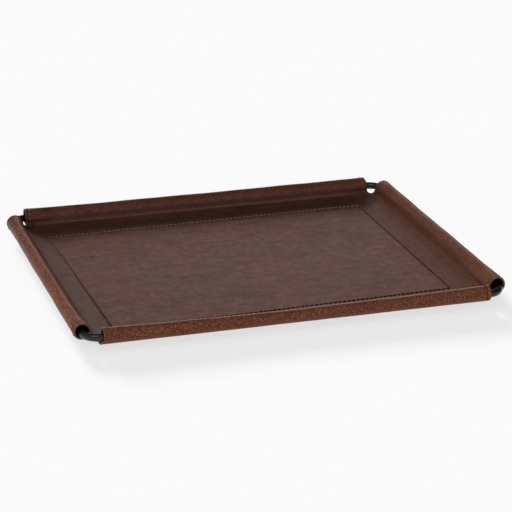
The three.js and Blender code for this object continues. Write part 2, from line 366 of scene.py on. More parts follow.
def band_height(x, y):
    """Grain surface of the floor and of the bands, with a soft shoulder before each roll."""
    out_x = np.abs(x) - HALF_X
    out_y = np.abs(y) - HALF_Y
    lift_x = band_lift(out_x, INSET_SHORT)
    lift_y = band_lift(out_y, INSET_LONG)
    lift = (lift_x ** 5 + lift_y ** 5) ** 0.2
    wander = 1 + 0.25 * np.sin((x - y) / 37 + 0.8) + 0.15 * np.sin((x + y) / 14)
    near_x = bell(out_x, *SHOULDER_SHORT) * rise(END_Y - np.abs(y), *SHOULDER_FROM)
    near_y = bell(out_y, *SHOULDER_LONG) * rise(END_X - np.abs(x), *SHOULDER_FROM)
    shoulder = wander * np.maximum(near_x, near_y)
    ripple = BROAD_RIPPLE * np.sin(x / 31 + 1.3) * np.sin(y / 27 + 0.4)
    ripple = ripple + FINE_RIPPLE * np.sin(x / 13 + y / 19)
    return FLOOR_TOP + RIPPLE_SWING + lift + shoulder + ripple


def groove(x, y):
    """The stitching groove under the seam rows: one at its bottom, none beside it."""
    along_x = (np.abs(x) < SEAM_X + GROOVE_RUN_ON) * bell(np.abs(y), 1, SEAM_Y, GROOVE_WIDTH)
    along_y = (np.abs(y) < SEAM_Y + GROOVE_RUN_ON) * bell(np.abs(x), 1, SEAM_X, GROOVE_WIDTH)
    return np.maximum(along_x, along_y)


def flap_height(u, inset):
    """Grain side of the turned flap, one thickness under the band."""
    return max(FLOOR_TOP + float(band_lift(u, inset)) - FLAP_DROP, FLOOR_UNDER - FIT_GAP - LEATHER)


def roll_turns(inset):
    """Turn of the crease, and how far the leather goes round from there until it leaves as the flap."""
    first, _, _ = crease_of(inset)
    u, z = FLAP_MEETS, flap_height(FLAP_MEETS, inset) - ROLL_Z
    leaves = math.degrees(math.atan2(z, u) + math.acos(ROLL_RADIUS / math.hypot(u, z)))
    return first, leaves - 360 - first


def facing_at(side, row):
    """Where the leather of a roll faces at a row, in degrees: 180 inwards, 90 up, 0 outwards."""
    first, sweep = roll_turns(side["inset"])
    return first + 360 + sweep * rise(row, BAND_ROWS, LAST_ROLL_ROW)


def section_rows(inset):
    """Grain side of one wing as (u, z) rows: band, crease, roll, then the flap turned under."""
    start = -inset + LEDGE
    rows = [(u, FLOOR_TOP + float(band_lift(u, inset))) for u in BAND_PLACES]
    first, sweep = roll_turns(inset)
    for i in range(SPIN_STEPS + 1):
        angle = math.radians(first + sweep * i / SPIN_STEPS)
        rows.append((ROLL_RADIUS * math.cos(angle), ROLL_Z + ROLL_RADIUS * math.sin(angle)))
    for u in (FLAP_MEETS, (start + FLAP_MEETS) / 2, start, -inset - FLAP_TURN):
        rows.append((u, flap_height(u, inset)))
    return rows


def settling_share(side, t):
    """How much of its settling a roll shows at t: none at its stitched ends, all near the middle."""
    span = np.clip(t / side["end"], -1, 1) - side["low"]
    width = np.where(span < 0, 1 + side["low"], 1 - side["low"])
    return np.clip(1 - np.abs(span / width) ** side["dip"], 0, 1)


def drawn_in(side, t, height=0.0):
    """How far the inner wall of a roll is drawn towards the rod at t and at a height."""
    _, _, crease_z = crease_of(side["inset"])
    above = rise(height, crease_z, ROLL_Z + ROLL_RADIUS)
    return np.minimum(1, DRAWN_SOONER * settling_share(side, t)) * (side["pull"] + side["lean"] * above)


def settled(side, t, u, z):
    """Lets the top of a roll sink and draws its inner wall towards the rod."""
    above = rise(z, ROLL_Z - SINKS_UNDER, ROLL_Z + ROLL_RADIUS)
    inner = rise(-u, 0, ROLL_RADIUS)
    at_end = np.where(t < 0, *side["ends"])
    sink = at_end + (side["sag"] - at_end) * settling_share(side, t)
    return side["press"] * (u + drawn_in(side, t, z) * inner), z - sink * above


def end_shift(side_name, t, facing):
    """How far the cut end of a roll stands out from the square, by where its leather faces."""
    near = rise(SIDES[side_name]["end"] - np.abs(t), *END_SHIFT_FROM)
    shift = 0 * near
    if side_name == "front":
        low_lip = np.sin(rise(facing, *LIP_FACING) * math.pi / 2) ** 2
        shift = np.where(t < 0, -FRONT_LIP * low_lip, 0)
    if side_name == "back":
        shift = np.where(t > 0, BACK_LEFT_END, bell(facing, *BACK_RIGHT_TOP))
    return near * shift


def seam_drift(side_name, t):
    """How far outside its marked line a seam lies at t along its side."""
    offset, slant, start = SEAM_DRIFT[side_name]
    return offset + slant * np.clip(t / SIDES[side_name]["seam_end"], start, 1.1)


def drawn_to_seams(x, y):
    """Moves the floor's points so that its close lines follow the seams as they were sewn."""
    moved = np.stack([x, y], axis=-1)
    for side_name, side in SIDES.items():
        out, run = side["out"], side["run"]
        beyond = x * out[0] + y * out[1] - side["seam"]
        drift = seam_drift(side_name, x * run[0] + y * run[1]) * bell(beyond, 1, 0, SEAM_REACH)
        moved += drift[:, None] * np.array(out)
    return moved


def wing_shape(side, t, row):
    """Place of the leather at t along a side and at a row of its section."""
    rows = np.array(section_rows(side["inset"]))
    index = np.arange(len(rows))
    u = np.interp(row, index, rows[:, 0])
    z = np.interp(row, index, rows[:, 1])
    angle = np.radians(facing_at(side, row) - 360)
    on_roll = (row >= BAND_ROWS) & (row <= LAST_ROLL_ROW)
    to_end = side["end"] - np.abs(t)
    pinch = bell(to_end, *STITCH_PULL) + bell(to_end, *MOUTH_FLARE)
    wave = LONG_WAVE * np.sin(t / 23 + side["half"])
    wave = wave + SHORT_WAVE * np.sin(t / 9.7 + 2.1 * side["sag"] + 1.7 * angle)
    ease = rise(row, BAND_ROWS, BAND_ROWS + EASE_ROWS) * rise(row, LAST_ROLL_ROW, LAST_ROLL_ROW - EASE_ROWS)
    radius = ROLL_RADIUS + ease * (pinch + wave)
    u = np.where(on_roll, radius * np.cos(angle), u)
    z = np.where(on_roll, ROLL_Z + radius * np.sin(angle), z)
    low_u, low_z = settled(side, t, u, z)
    return np.where(on_roll, low_u, u), np.where(on_roll, low_z, z)


# The leather, cut flat, drawn out round the rod and then settled

# The cuts across the floor: how far apart they are, the close ones at a seam and before a roll's end, and how
# far inside the seam the even ones stop
CUT_PITCH = 11.5
CUTS_AT_SEAM = (-1.5, -0.75, 0, 0.75, 1.5, 4)
CUTS_AT_END = (8.5, 6.2, 4.5, 2.8, 1.2)
CUTS_STOP = 3


def cut_lines(end, seam):
    """Where the floor is cut across: close together at the seam and the ends, evenly elsewhere."""
    inner_end = seam - CUTS_STOP
    count = round(2 * inner_end / CUT_PITCH)
    inner = [-inner_end + 2 * inner_end * i / count for i in range(count + 1)]
    near = [seam + offset for offset in CUTS_AT_SEAM]
    hem = [end - offset for offset in CUTS_AT_END]
    width = hem[0] - near[-1]
    steps = max(1, round(width / CUT_PITCH))
    between = [near[-1] + width * i / steps for i in range(1, steps)]
    outer = near + between + hem
    return [-v for v in outer] + inner + outer


def draw_out(out, rows):
    """Extrudes the selected edge from the first of some (u, z) rows through the others."""
    for (u, z), (next_u, next_z) in zip(rows, rows[1:]):
        step = (out * (next_u - u) + Vector((0, 0, next_z - z))) * MM
        bpy.ops.mesh.extrude_edges_move(TRANSFORM_OT_translate={"value": step})


def leather_edges(piece, side_name):
    """Draws one wing out of the floor's edge: band, roll spun round the rod, then the flap."""
    side = SIDES[side_name]
    out = Vector((*side["out"], 0))
    run = Vector((*side["run"], 0))
    rows = section_rows(side["inset"])
    limit = side["half"] - SETBACK

    def on_edge(p):
        inside = abs(p.dot(run)) < side["end"] + HAIR
        return inside and abs(p.dot(out) - limit) < HAIR and abs(p.z - FLOOR_TOP) < HAIR

    pick(piece, on_edge)
    draw_out(out, [(-SETBACK, FLOOR_TOP)] + rows[1:BAND_ROWS + 1])
    _, sweep = roll_turns(side["inset"])
    centre = (out * side["half"] + Vector((0, 0, ROLL_Z))) * MM
    axis = out.cross(Vector((0, 0, 1)))
    bpy.ops.mesh.spin(steps=SPIN_STEPS, angle=math.radians(-sweep), center=centre, axis=axis)
    draw_out(out, rows[LAST_ROLL_ROW:])


def leather_sheet():
    """The whole leather: one sheet cut with four wings, rolled round the rod and turned under."""
    clear_selection()
    bpy.ops.mesh.primitive_plane_add(size=2 * MM, location=(0, 0, 0))
    piece = started("tray_leather_sheet")
    bpy.ops.transform.resize(value=(END_X, END_Y, 1))
    bpy.ops.transform.translate(value=(0, 0, FLOOR_TOP * MM))
    for way, end, seam in (((1, 0, 0), END_X, SEAM_X), ((0, 1, 0), END_Y, SEAM_Y)):
        for cut in cut_lines(end, seam):
            cut_across([cut * MM * axis for axis in way], way)
    made = [len(bmesh.from_edit_mesh(piece.data).verts)]
    for side_name in SIDES:
        leather_edges(piece, side_name)
        made.append(len(bmesh.from_edit_mesh(piece.data).verts))
    for sign_x in (-1, 1):
        for sign_y in (-1, 1):
            fill_notch(piece, sign_x, sign_y)
    bpy.ops.mesh.select_all(action="SELECT")
    bpy.ops.mesh.normals_make_consistent(inside=False)
    bpy.ops.object.mode_set(mode="OBJECT")
    mark_wings(piece, made)
    only(piece)
    bpy.ops.object.mode_set(mode="EDIT")
    bpy.ops.mesh.select_all(action="SELECT")
    bpy.ops.mesh.subdivide(number_cuts=1)
    bpy.ops.object.mode_set(mode="OBJECT")
    shape_leather(piece)
    return piece


def pick_rungs(piece, rungs):
    """Selects the edges that run from one wing to the other, so that only they are cut."""
    bm = bmesh.from_edit_mesh(piece.data)
    bm.select_mode = {"EDGE"}
    for edge in bm.edges:
        a, b = (vert.co / MM for vert in edge.verts)
        straight = any((a - p).length + (b - q).length < 4 * HAIR for p, q in rungs)
        turned = any((b - p).length + (a - q).length < 4 * HAIR for p, q in rungs)
        edge.select_set(straight or turned)
    bm.select_flush_mode()
    bmesh.update_edit_mesh(piece.data)


def fill_notch(piece, sign_x, sign_y):
    """Joins two wings at a corner as far out as the notch between their rolls."""
    long_rows = section_rows(INSET_LONG)
    short_rows = section_rows(INSET_SHORT)
    corner = Vector((sign_x * END_X, sign_y * END_Y, FLOOR_TOP))
    steps = [(corner, corner)]
    for i in range(1, BAND_ROWS):
        on_long = Vector((sign_x * END_X, sign_y * (HALF_Y + long_rows[i][0]), long_rows[i][1]))
        on_short = Vector((sign_x * (HALF_X + short_rows[i][0]), sign_y * END_Y, short_rows[i][1]))
        steps.append((on_long, on_short))
    for inner, outer in zip(steps, steps[1:]):
        wanted = inner + outer
        pick(piece, lambda p: any((p - q).length < 2 * HAIR for q in wanted))
        bpy.ops.mesh.edge_face_add()
    pick_rungs(piece, steps[1:])
    bpy.ops.mesh.subdivide(number_cuts=4)


# Odd, so that half of one, as on a point between the floor and a wing, is no wing's number
WING_NUMBER = {"front": 1, "back": 3, "right": 5, "left": 7}


def mark_wings(piece, made):
    """Notes on every point which wing it was drawn for and which row of the section it is on."""
    points = points_of(piece)
    wing = np.zeros(len(points))
    row = np.zeros(len(points))
    for (name, side), first, last in zip(SIDES.items(), made, made[1:]):
        mine = slice(first, last)
        _, u = along_and_out(side, points[mine])
        rows = np.array(section_rows(side["inset"]))[1:]
        gap = np.hypot(u[:, None] - rows[None, :, 0], points[mine, 2:3] - rows[None, :, 1])
        wing[mine] = WING_NUMBER[name]
        row[mine] = gap.argmin(axis=1) + 1
    note(piece, "wing", wing)
    note(piece, "row", row)


# How hollow the leather is cut round a notch, from straight (0) to a full quarter round (1)
HOLLOW = 0.7
BACK_LEFT_HOLLOW = -0.1


def rounded_notch(flat):
    """Draws the straight filling of a corner back to a hollow quarter round."""
    sign = np.sign(flat)
    a = np.abs(flat[:, 0]) - END_X
    b = np.abs(flat[:, 1]) - END_Y
    total = (a + b) / np.hypot(a, b)
    at_back_left = (sign[:, 0] < 0) & (sign[:, 1] > 0)
    hollow = np.where(at_back_left, BACK_LEFT_HOLLOW, HOLLOW)
    scale = 1 - hollow + hollow * total * (total - np.sqrt(np.maximum(total ** 2 - 1, 0)))
    return sign * np.stack([END_X + a * scale, END_Y + b * scale], axis=-1)


def shape_leather(piece):
    """Moves every point of the flat-made sheet to where the worn leather lies, and marks its wear and its
    painted light and shade.
    """
    points = points_of(piece)
    wing = noted(piece, "wing")
    row = noted(piece, "row")
    in_notch = (np.abs(points[:, 0]) > END_X + HAIR) & (np.abs(points[:, 1]) > END_Y + HAIR)
    points[in_notch, :2] = rounded_notch(points[in_notch, :2])
    x, y = points[:, 0], points[:, 1]
    shaped = points.copy()
    flat = in_notch | (row < BAND_ROWS + HAIR)
    shaped[flat, :2] = drawn_to_seams(x, y)[flat]
    shaped[flat, 2] = (band_height(x, y) - GROOVE_DEPTH * groove(x, y))[flat]
    # Marks the stitching groove, where a painted shadow darkens the leather
    note(piece, "seam", groove(x, y) * flat)
    note_band_shade_and_tones(piece, x, y)
    wear = {name: np.zeros(len(points)) for name in ("roll", "bent_and_lit", "crease", "painted_light", "shoulder_highlight")}
    for name in SIDES:
        mine = (np.abs(wing - WING_NUMBER[name]) < HAIR) & ~in_notch
        shape_wing(name, points, row, mine, shaped)
        mark_wear_and_light(name, points, row, mine, wear)
    for name, values in wear.items():
        note(piece, name, values)
    set_points(piece, shaped)


# How much painted shade darkens the bands where the rolls shade them: from how far past a seam on, within
# what width on the short and on the long sides, and what share of it the right one shows. The painted shade
# is
# darkest in two strips, given as (how much, where it is most, how wide): on the long bands but not past the
# corners, and on the right band towards the front
DARK_FROM = 0.5
DARK_WITHIN = (2, 9)
RIGHT_SHARE = 0.7
SHADE_STRIP_LONG = (1.7, 9, 9)
SHADE_STRIP_TO = 6
SHADE_STRIP_RIGHT = (0.3, SEAM_X + 16, 9)
SHADE_STRIP_TO_FRONT = (90, -30)
# The painted shadow of the back roll on the floor just inside the back seam and its width, and where the left
# and the back rolls' own tones begin
SEAM_SHADOW = 0.5
SEAM_SHADOW_WIDTH = 8
LEFT_TONE_FROM = (END_X + 2, END_X + 5)
BACK_TONE_FROM = (END_Y - 12, END_Y - 8)
BACK_TONE_END = END_X + 1


def note_band_shade_and_tones(piece, x, y):
    """Marks the painted shade on the bands beyond the seams and the painted shadow inside the back seam, and
    which leather is on the left and the back rolls.
    """
    over_x = np.abs(x) - SEAM_X
    over_y = np.abs(y) - SEAM_Y
    beyond = np.maximum(over_x, over_y)
    fade = np.where(over_x > over_y, *DARK_WITHIN)
    # Painted shade: the two darkest strips, on the long bands and on the right band towards the front
    pressed = bell(over_y, *SHADE_STRIP_LONG) * (over_x < SHADE_STRIP_TO)
    pressed += bell(x, *SHADE_STRIP_RIGHT) * rise(y, *SHADE_STRIP_TO_FRONT)
    # Painted shadow of the back roll on the floor just inside the back seam
    inside = SEAM_SHADOW * np.exp(-np.abs(SEAM_Y - y) / SEAM_SHADOW_WIDTH) * (beyond < DARK_FROM)
    share = np.where(x > SEAM_X, RIGHT_SHARE, 1.0)
    # The bands' painted shade, with the painted shadow inside the back seam
    note(piece, "band", share * rise(beyond, DARK_FROM, DARK_FROM + fade) * (1 + pressed) + inside)
    note(piece, "left_roll", rise(-x, *LEFT_TONE_FROM))
    note(piece, "deep", rise(y, *BACK_TONE_FROM) * (np.abs(x) < BACK_TONE_END))


def parts_of_wing(mine, row):
    """Which points of a wing are on its band, round its roll and on its flap."""
    on_band = mine & (row < BAND_ROWS + HAIR)
    on_flap = mine & (row > LAST_ROLL_ROW + HAIR)
    return on_band, mine & ~on_band & ~on_flap, on_flap


# How far from its ends a roll is pressed in full
PRESSED_FROM = 10


def shape_wing(name, points, row, mine, shaped):
    """Moves one wing: its roll settles on the rod, its band follows, its flap narrows towards the board."""
    side = SIDES[name]
    end = side["end"]
    t, u = along_and_out(side, points)
    on_band, on_roll, on_flap = parts_of_wing(mine, row)
    shift = end_shift(name, t, facing_at(side, row))
    shaped[on_roll] = place(side, t + shift, *wing_shape(side, t, row))[on_roll]
    pressed = (1 - side["press"]) * ROLL_RADIUS * rise(end - np.abs(t), 0, PRESSED_FROM)
    follow = (drawn_in(side, t) + pressed) * (row / BAND_ROWS) ** 2 * np.abs(u) / ROLL_RADIUS
    shaped[on_band, :2] += (follow[:, None] * np.array(side["out"]))[on_band]
    standing = shift * rise(row, 0, BAND_ROWS)
    shaped[on_band, :2] += (standing[:, None] * np.array(side["run"]))[on_band]
    soften_crease(side, t, row, shaped, on_band | on_roll)
    inward = np.clip(-SETBACK - u, 0, None)
    depth = side["inset"] + FLAP_TURN - SETBACK
    narrowing = (side["beside"] + FLAP_TURN - SETBACK) * inward / depth + 2 * FIT_GAP * (inward > 0)
    lip = shift * rise(row, LAST_ROLL_ROW + 2, LAST_ROLL_ROW + 1)
    shaped[on_flap] = place(side, t * (1 - narrowing / end) + lip, u, points[:, 2])[on_flap]


# Painted light and shade by where the leather of a roll faces, in degrees: a painted highlight along its top
# and painted light underneath, on the back roll also painted shade and painted light again on its inner wall,
# and rust with painted light from its outer edge on. A roll's own tone comes between two turns past its
# crease
TOP_HIGHLIGHT = (1, 98, 13)
UNDER_LIGHT = (0.9, -60, 26)
BACK_WALL_SHADE = (2.6, 130, 15)
BACK_WALL_LIGHT = (0.1, 168, 14)
RUST_AND_LIGHT_FACING = (84, 44)
ROLL_TONE_FROM = (10, 40)
# Painted light and shade by the row of the section: painted shade in the crease, and painted light above it
# on the right roll, towards the front
CREASE_SHADE = (1, BAND_ROWS, 1.3)
RIGHT_WALL_LIGHT = (0.22, 5.5, 2.4)
LIGHT_TO_FRONT = (30, -140)
# How wide the painted highlight on a band's shoulder is, and how far from the ends it is full
SHOULDER_HIGHLIGHT_WIDTH = 3.6
SHOULDER_HIGHLIGHT_FROM = 30


def mark_wear_and_light(name, points, row, mine, wear):
    """Marks one wing's wear and painted light: where it is rolled, bent and rusty with painted light on its
    outer wall, its painted crease shade, and painted highlights on its roll and its band's shoulder.
    """
    side = SIDES[name]
    end = side["end"]
    t, u = along_and_out(side, points)
    on_band, on_roll, _ = parts_of_wing(mine, row)
    facing = facing_at(side, row)
    first, _, _ = crease_of(side["inset"])
    # How rusty the outer wall is, with painted light, from one end of the side to the other
    rust = np.interp(t, [-end, end], side["rust"])
    # Painted highlight along the top of a roll and painted light under it, as strong as the side's pale share
    rubbed = side["pale"] * (bell(facing, *TOP_HIGHLIGHT) + bell(facing, *UNDER_LIGHT))
    wear["roll"][mine] = rise(first + 360 - facing, *ROLL_TONE_FROM)[mine]
    # Paler, rustier bent leather on the outer wall, lightened further as painted light from the floor below
    wear["bent_and_lit"][mine] = (rust * rise(facing, *RUST_AND_LIGHT_FACING))[mine]
    wear["painted_light"][mine] = (rubbed * (row > BAND_ROWS))[mine]
    # Painted shade in the crease
    wear["crease"][mine] = bell(row, *CREASE_SHADE)[mine]
    if name == "back":
        # Painted shade on the back roll's inner wall
        wear["crease"][on_roll] += bell(facing, *BACK_WALL_SHADE)[on_roll]
        # Painted light on the back roll's inner wall
        wear["painted_light"][on_roll] += bell(facing, *BACK_WALL_LIGHT)[on_roll]
    if name == "right":
        # Painted light above the crease on the right roll, towards the front
        wear["painted_light"][mine] += (bell(row, *RIGHT_WALL_LIGHT) * rise(t, *LIGHT_TO_FRONT))[mine]
    # Painted highlight along the band's shoulder before the crease
    taut = bell(u, 1, -side["taut_at"], SHOULDER_HIGHLIGHT_WIDTH) * rise(end - np.abs(t), 0, SHOULDER_HIGHLIGHT_FROM)
    wear["shoulder_highlight"][on_band] = side["taut"] * taut[on_band]


# The rows of a wing between which its crease is rounded, and how much more it is at the front end of the
# right roll, coming between two distances from that end
SOFT_FROM_ROW = 0.8
SOFT_TO_ROW = 8.2
SOFTER = 0.4
SOFTER_FROM = (90, 30)


def soften_crease(side, t, row, shaped, chosen):
    """Rounds the crease between a band and its roll, most of all at the front end of the right roll."""
    between = chosen & (row > SOFT_FROM_ROW) & (row < SOFT_TO_ROW)
    share = rise(row, SOFT_FROM_ROW, SOFT_TO_ROW)
    front_end = rise(side["end"] + t, *SOFTER_FROM)
    soft = side["soft"] + SOFTER * (side["out"] == (1, 0)) * front_end
    rows = np.array(section_rows(side["inset"]))
    low_u = np.interp(SOFT_FROM_ROW, np.arange(len(rows)), rows[:, 0])
    low = place(side, t, low_u, 0)
    low[:, 2] = band_height(low[:, 0], low[:, 1])
    high = place(side, t, *wing_shape(side, t, np.full(len(t), SOFT_TO_ROW)))
    weight = soft * np.sin(math.pi * share) ** 2
    straight = low + share[:, None] * (high - low)
    out = np.array([*side["out"], 0])
    step = straight - shaped
    step = (step @ out)[:, None] * out + step * np.array([0, 0, 1])
    shaped[between] += (weight[:, None] * step)[between]


def mark_rim(piece):
    """Marks the open edge of a sheet, so that a bevel after its thickness eases that edge alone."""
    only(piece)
    bpy.ops.object.mode_set(mode="EDIT")
    bpy.ops.mesh.select_mode(type="EDGE")
    bpy.ops.mesh.select_all(action="DESELECT")
    bpy.ops.mesh.select_non_manifold(
        extend=False,
        use_wire=False,
        use_multi_face=False,
        use_non_contiguous=False,
        use_verts=False,
    )
    bpy.ops.transform.edge_bevelweight(value=1.0)
    bpy.ops.object.mode_set(mode="OBJECT")


def leather_thickness(piece):
    """Gives the sheet its thickness on the flesh side, with the cut edge eased."""
    mark_rim(piece)
    apply_modifier(
        piece,
        "SOLIDIFY",
        thickness=LEATHER * MM,
        offset=-1,
        use_quality_normals=True,
        material_offset=1,
        material_offset_rim=2,
    )
    ease_edges(piece)
    smooth_sides(piece, 50)


# The rod and what lies under the leather


def frame_rod():
    """One round bar bent to a rounded rectangle, drawn as a ring carried round the four sides."""
    clear_selection()
    flat_x = HALF_X - BEND_RADIUS
    flat_y = HALF_Y - BEND_RADIUS
    start = (-flat_x * MM, -HALF_Y * MM, ROD_Z * MM)
    turn = (0, math.pi / 2, 0)
    bpy.ops.mesh.primitive_circle_add(vertices=32, radius=ROD_RADIUS * MM, location=start, rotation=turn)
    piece = started("bent_rod")
    sides = [
        ((2 * flat_x, 0), (flat_x, -flat_y)),
        ((0, 2 * flat_y), (flat_x, flat_y)),
        ((-2 * flat_x, 0), (-flat_x, flat_y)),
        ((0, -2 * flat_y), (-flat_x, -flat_y)),
    ]
    for step, centre in sides:
        bpy.ops.mesh.extrude_edges_move(TRANSFORM_OT_translate={"value": (step[0] * MM, step[1] * MM, 0)})
        middle = (centre[0] * MM, centre[1] * MM, ROD_Z * MM)
        bpy.ops.mesh.spin(steps=14, angle=math.pi / 2, center=middle, axis=(0, 0, -1))
    bpy.ops.mesh.select_all(action="SELECT")
    bpy.ops.mesh.remove_doubles(threshold=2 * HAIR * MM)
    bpy.ops.mesh.normals_make_consistent(inside=False)
    bpy.ops.object.mode_set(mode="OBJECT")
    only(piece)
    bpy.ops.object.shade_smooth()
    return piece


# The linings: how thick, the tube that each is cut from, the turn in degrees at the middle of its slit, how
# many rows of the roll it stays short of the crease and the flap, and how much of the room round the rod it
# leaves to the leather, with the least and the most. The leather's slope is taken over a part of a row
LINING = 0.35
LINING_RADIUS = 6.7
LINING_PARTS = 48
SLIT_MIDDLE = -113
SHORT_OF_CREASE = 3
SHORT_OF_FLAP = 1
GAP_SHARE = 0.4
GAP_LIMITS = (0.09, 0.65)
ROW_STEP = 0.25


def roll_row(side, u, z):
    """Row of a wing's section that faces the same way as a place in its roll."""
    first, sweep = roll_turns(side["inset"])
    angle = np.degrees(np.arctan2(z - ROLL_Z, u))
    angle = np.where(angle < SLIT_MIDDLE, angle, angle - 360)
    return BAND_ROWS + SPIN_STEPS * (angle - first) / sweep


def under_roll(side, t, row):
    """Place under the flesh side of a roll, a little nearer to the rod where there is room."""
    u, z = wing_shape(side, t, row)
    u_before, z_before = wing_shape(side, t, row - ROW_STEP)
    u_after, z_after = wing_shape(side, t, row + ROW_STEP)
    across = np.hypot(u_after - u_before, z_after - z_before)
    inward_u = (z_after - z_before) / across
    inward_z = (u_before - u_after) / across
    room = np.hypot(u + LEATHER * inward_u, z + LEATHER * inward_z - ROD_Z) - ROD_RADIUS - LINING
    depth = LEATHER + np.clip(GAP_SHARE * room, *GAP_LIMITS)
    return u + depth * inward_u, z + depth * inward_z


def sleeve_lining(side_name):
    """A slit tube of lining leather inside one roll, between the rod and the leather."""
    side = SIDES[side_name]
    out = Vector((*side["out"], 0))
    run = Vector((*side["run"], 0))
    clear_selection()
    centre = (out * side["half"] + Vector((0, 0, ROLL_Z))) * MM
    turn = (0, math.pi / 2, 0) if side["run"][0] else (math.pi / 2, 0, 0)
    bpy.ops.mesh.primitive_cylinder_add(
        vertices=LINING_PARTS,
        radius=LINING_RADIUS * MM,
        depth=2 * side["end"] * MM,
        end_fill_type="NOTHING",
        location=centre,
        rotation=turn,
    )
    piece = started(side_name + "_lining_tube")
    for i in range(1, LINING_PARTS):
        cut_across(run * side["end"] * (2 * i / LINING_PARTS - 1) * MM, run)

    def in_slit(p):
        row = roll_row(side, p.dot(out) - side["half"], p.z)
        return row < BAND_ROWS + SHORT_OF_CREASE or row > LAST_ROLL_ROW - SHORT_OF_FLAP

    pick_faces(piece, in_slit)
    bpy.ops.mesh.delete(type="FACE")
    bpy.ops.object.mode_set(mode="OBJECT")
    points = points_of(piece)
    t, u = along_and_out(side, points)
    u, z = under_roll(side, t, roll_row(side, u, points[:, 2]))
    set_points(piece, place(side, t, u, z))
    apply_modifier(piece, "SOLIDIFY", thickness=LINING * MM, offset=-1)
    smooth_sides(piece, 50)
    return piece


# The cover: how far it reaches past the seam, its rounded corners, the width of its hem, and the step by
# which the hem lies higher than the middle
COVER_MARGIN = 7
COVER_CORNER = 14
COVER_HEM = 9.4
STEP_WIDTH = 1.2
STEP_HEIGHT = 0.8


def base_cover():
    """The leather that closes the underside, its hem joggled up over the turned flaps."""
    clear_selection()
    bpy.ops.mesh.primitive_plane_add(size=2 * MM, location=(0, 0, (COVER + STEP_HEIGHT) * MM))
    piece = started("base_cover_leather")
    bpy.ops.transform.resize(value=(SEAM_X + COVER_MARGIN, SEAM_Y + COVER_MARGIN, 1))
    bpy.ops.mesh.bevel(offset=COVER_CORNER * MM, segments=8, affect="VERTICES")
    bpy.ops.mesh.select_all(action="SELECT")
    bpy.ops.mesh.inset(thickness=COVER_HEM * MM)
    bpy.ops.mesh.inset(thickness=STEP_WIDTH * MM, depth=-STEP_HEIGHT * MM)
    bpy.ops.object.mode_set(mode="OBJECT")
    apply_modifier(piece, "SOLIDIFY", thickness=COVER * MM, offset=-1, bevel_convex=1.0)
    ease_edges(piece)
    smooth_sides(piece, 40)
    return piece


# Stitching

# One stitch by half its length, half its width and height, the part of it that is drawn out to a fuller
# belly, and the shares of its half between which its tips darken
STITCH_HALF = 1.95
THREAD_HALF = (0.85, 0.7)
BELLY_HALF = 0.9
BELLY_STRETCH = 1.7
TIP_FROM = (0.55, 0.9)


def one_stitch():
    """A single pull of waxed thread, plump in the middle and drawn in at both ends."""
    clear_selection()
    bpy.ops.mesh.primitive_uv_sphere_add(segments=8, ring_count=5, radius=MM, rotation=(0, math.pi / 2, 0))
    piece = started("stitch")
    bpy.ops.transform.resize(value=(STITCH_HALF, *THREAD_HALF))
    pick(piece, lambda p: abs(p.x) < BELLY_HALF)
    bpy.ops.transform.resize(value=(BELLY_STRETCH, 1, 1))
    bpy.ops.object.mode_set(mode="OBJECT")
    note(piece, "tip", rise(np.abs(points_of(piece)[:, 0]) / STITCH_HALF, *TIP_FROM))
    return piece


def sew(name, stitch, places, lit_front, lit_back):
    """Copies the stitch to each (point, along, up), joins the copies and notes the thread's painted light and
    shade: pale where lit, dark in shade.
    """
    clear_selection()
    copies = []
    for point, along, up in places:
        along = Vector(along).normalized()
        up = (Vector(up) - along * along.dot(Vector(up))).normalized()
        across_thread = up.cross(along)
        turn = Matrix((along, across_thread, up)).transposed().to_4x4()
        copy = stitch.copy()
        copy.data = stitch.data.copy()
        copy.data.transform(Matrix.Translation(Vector(point) * MM) @ turn)
        bpy.context.collection.objects.link(copy)
        copies.append(copy)
    clear_selection()
    for copy in copies:
        copy.select_set(True)
    bpy.context.view_layer.objects.active = copies[0]
    bpy.ops.object.join()
    row = bpy.context.object
    row.name = name
    row.data.name = name
    bpy.ops.object.shade_smooth()
    to_back = rise(points_of(row)[:, 1], -SEAM_Y, SEAM_Y)
    # Painted light and shade of the thread, from its front to its back end
    note(row, "pale", lit_front + (lit_back - lit_front) * to_back)
    return row


def seam_ends(side_name):
    """Where a seam starts and stops along its side: at the seams of the two sides next to it."""
    run = SIDES[side_name]["run"]
    nearer = SIDES[side_name]["out"]
    ends = []
    for way in (-1, 1):
        ahead = (way * run[0], way * run[1])
        other = next(name for name, side in SIDES.items() if side["out"] == ahead)
        side = SIDES[other]
        corner = nearer[0] * side["run"][0] * SEAM_X + nearer[1] * side["run"][1] * SEAM_Y
        ends.append(way * (side["seam"] + float(seam_drift(other, corner))))
    return ends


def hem_places(side_name):
    """Stitches of one side of the cover's hem, straight along its marked line on the underside."""
    side = SIDES[side_name]
    last = side["seam_end"]
    count = round(2 * last / STITCH_PITCH)
    t = last * ((2 * np.arange(count) + 1) / count - 1)
    points = place(side, t, -side["inset"], np.full(count, STEP_HEIGHT))
    return [(point, (*side["run"], 0), (0, 0, 1)) for point in points]


# How far a stitch slants across its row, in a seam and round a roll's end, the rows of the section past the
# crease and short of the flap between which an end is stitched, how high its stitches lie and how far they
# sink at the roll's top, as (how far, where it faces, how wide)
SEAM_SLANT = 0.2
END_SLANT = 0.4
PAST_CREASE = 1.2
SHORT_OF_FLAP_STITCH = 3.5
END_STITCH_RISE = 0.1
SUNK_AT_TOP = (0.35, 100, 30)


